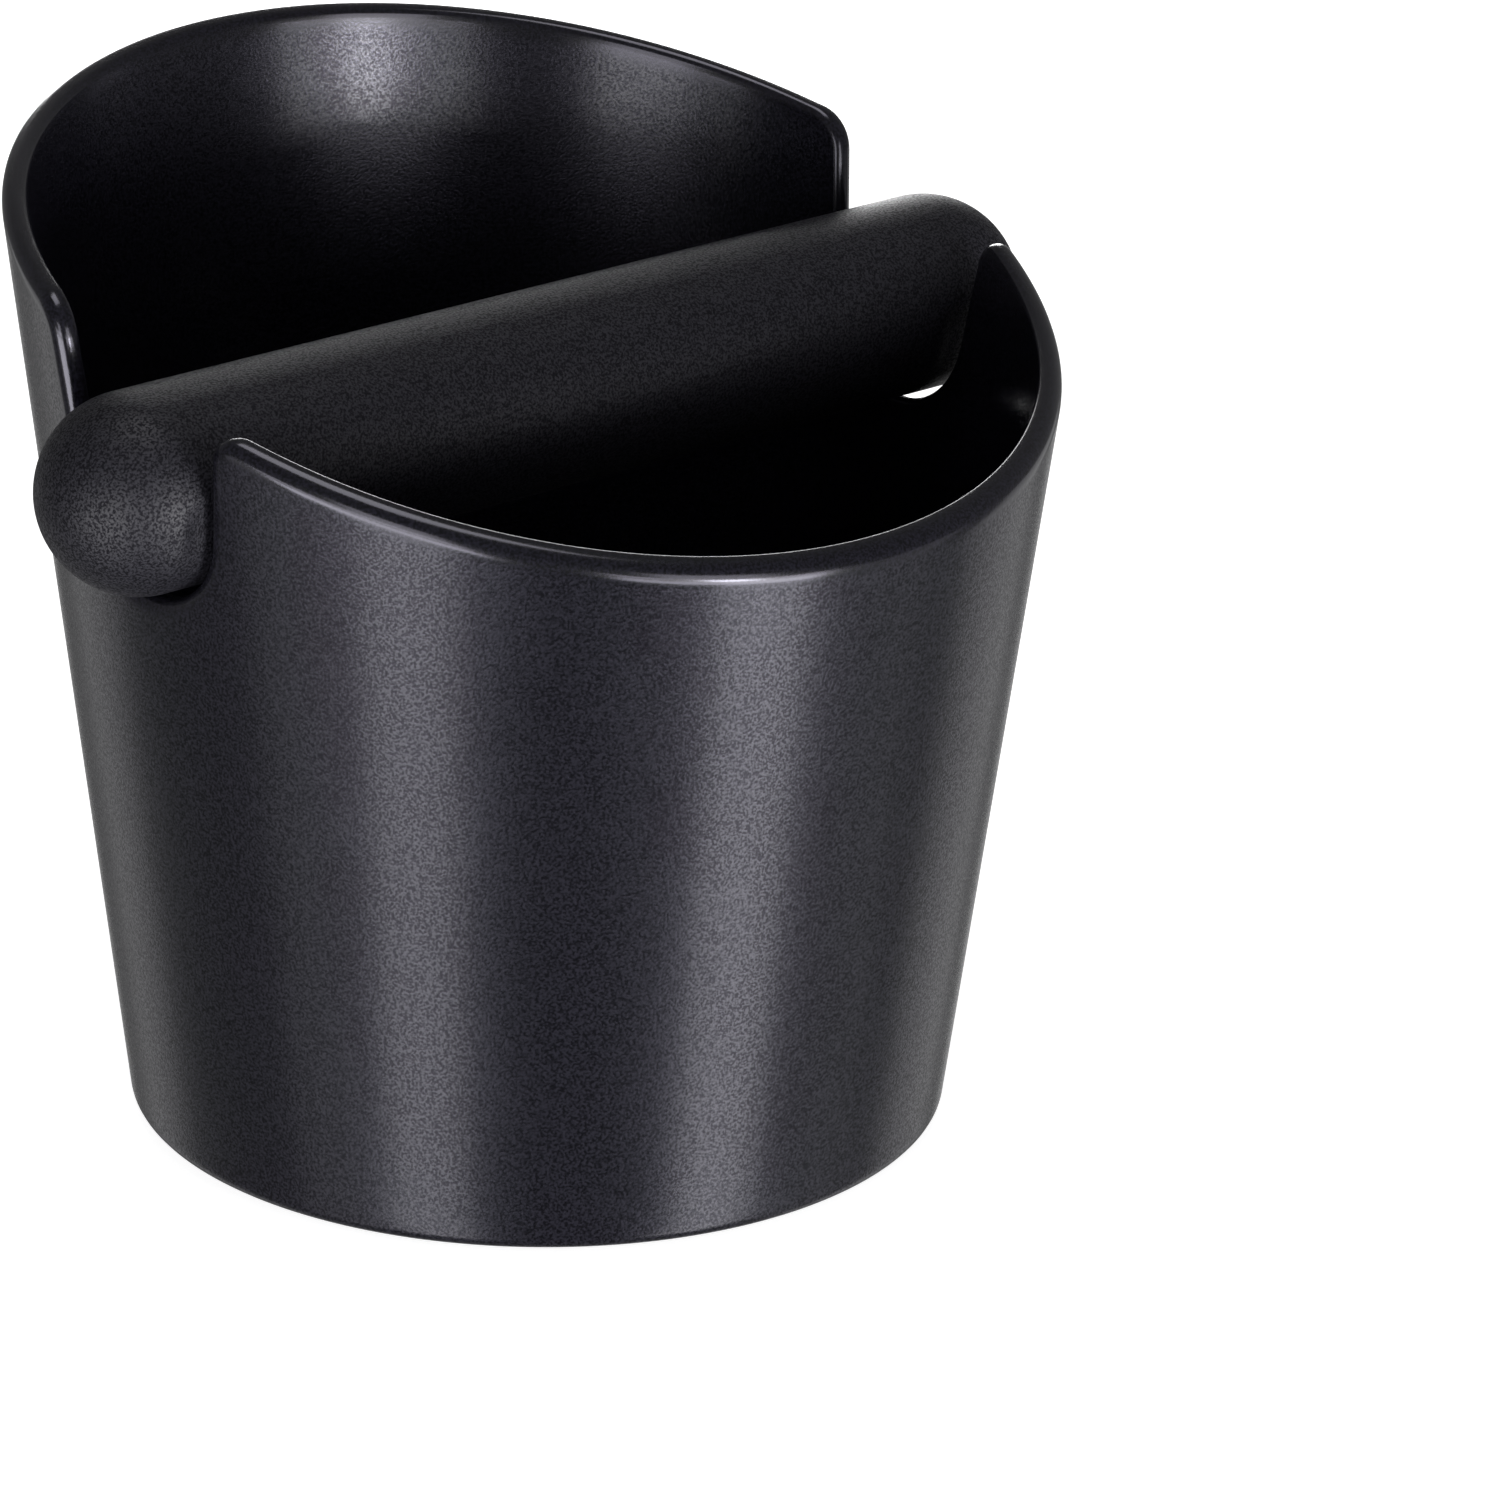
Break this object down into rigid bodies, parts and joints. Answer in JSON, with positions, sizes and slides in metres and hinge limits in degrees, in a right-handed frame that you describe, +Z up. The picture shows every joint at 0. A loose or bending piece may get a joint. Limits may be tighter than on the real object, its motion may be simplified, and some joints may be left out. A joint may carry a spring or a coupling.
{
  "type": "espresso knock box",
  "caption": "Tapered bucket with a slanted rim, a high rear guard and a rubber-covered knock bar that lifts out of two notches.",
  "frame": {"origin": "middle of the underside of the foot pad, on the surface the box stands on", "axes": "+X along the knock bar, +Y towards the high rear guard, -Y towards the low front rim, +Z up"},
  "size_m": [0.155, 0.1345, 0.1301],
  "materials": {
    "moulded_shell": "fine matte grain, near black",
    "pad_rubber": "matte",
    "sleeve_rubber": "fine matte grain, near black",
    "former_plastic": "natural, satin",
    "core_steel": "drawn bar",
    "plug_plastic": "satin"
  },
  "bodies": {
    "box": {"bucket": "moulded_shell", "foot_pad": "pad_rubber"},
    "knock_bar": {"bar_sleeve": "sleeve_rubber", "bar_former": "former_plastic", "bar_core": "core_steel", "core_plug_left": "plug_plastic", "core_plug_right": "plug_plastic"}
  },
  "joints": [
    {"name": "bar_lift", "type": "slide", "parent": "box", "child": "knock_bar", "axis": [0, 0, 1], "range_m": [0, 0.06]}
  ]
}
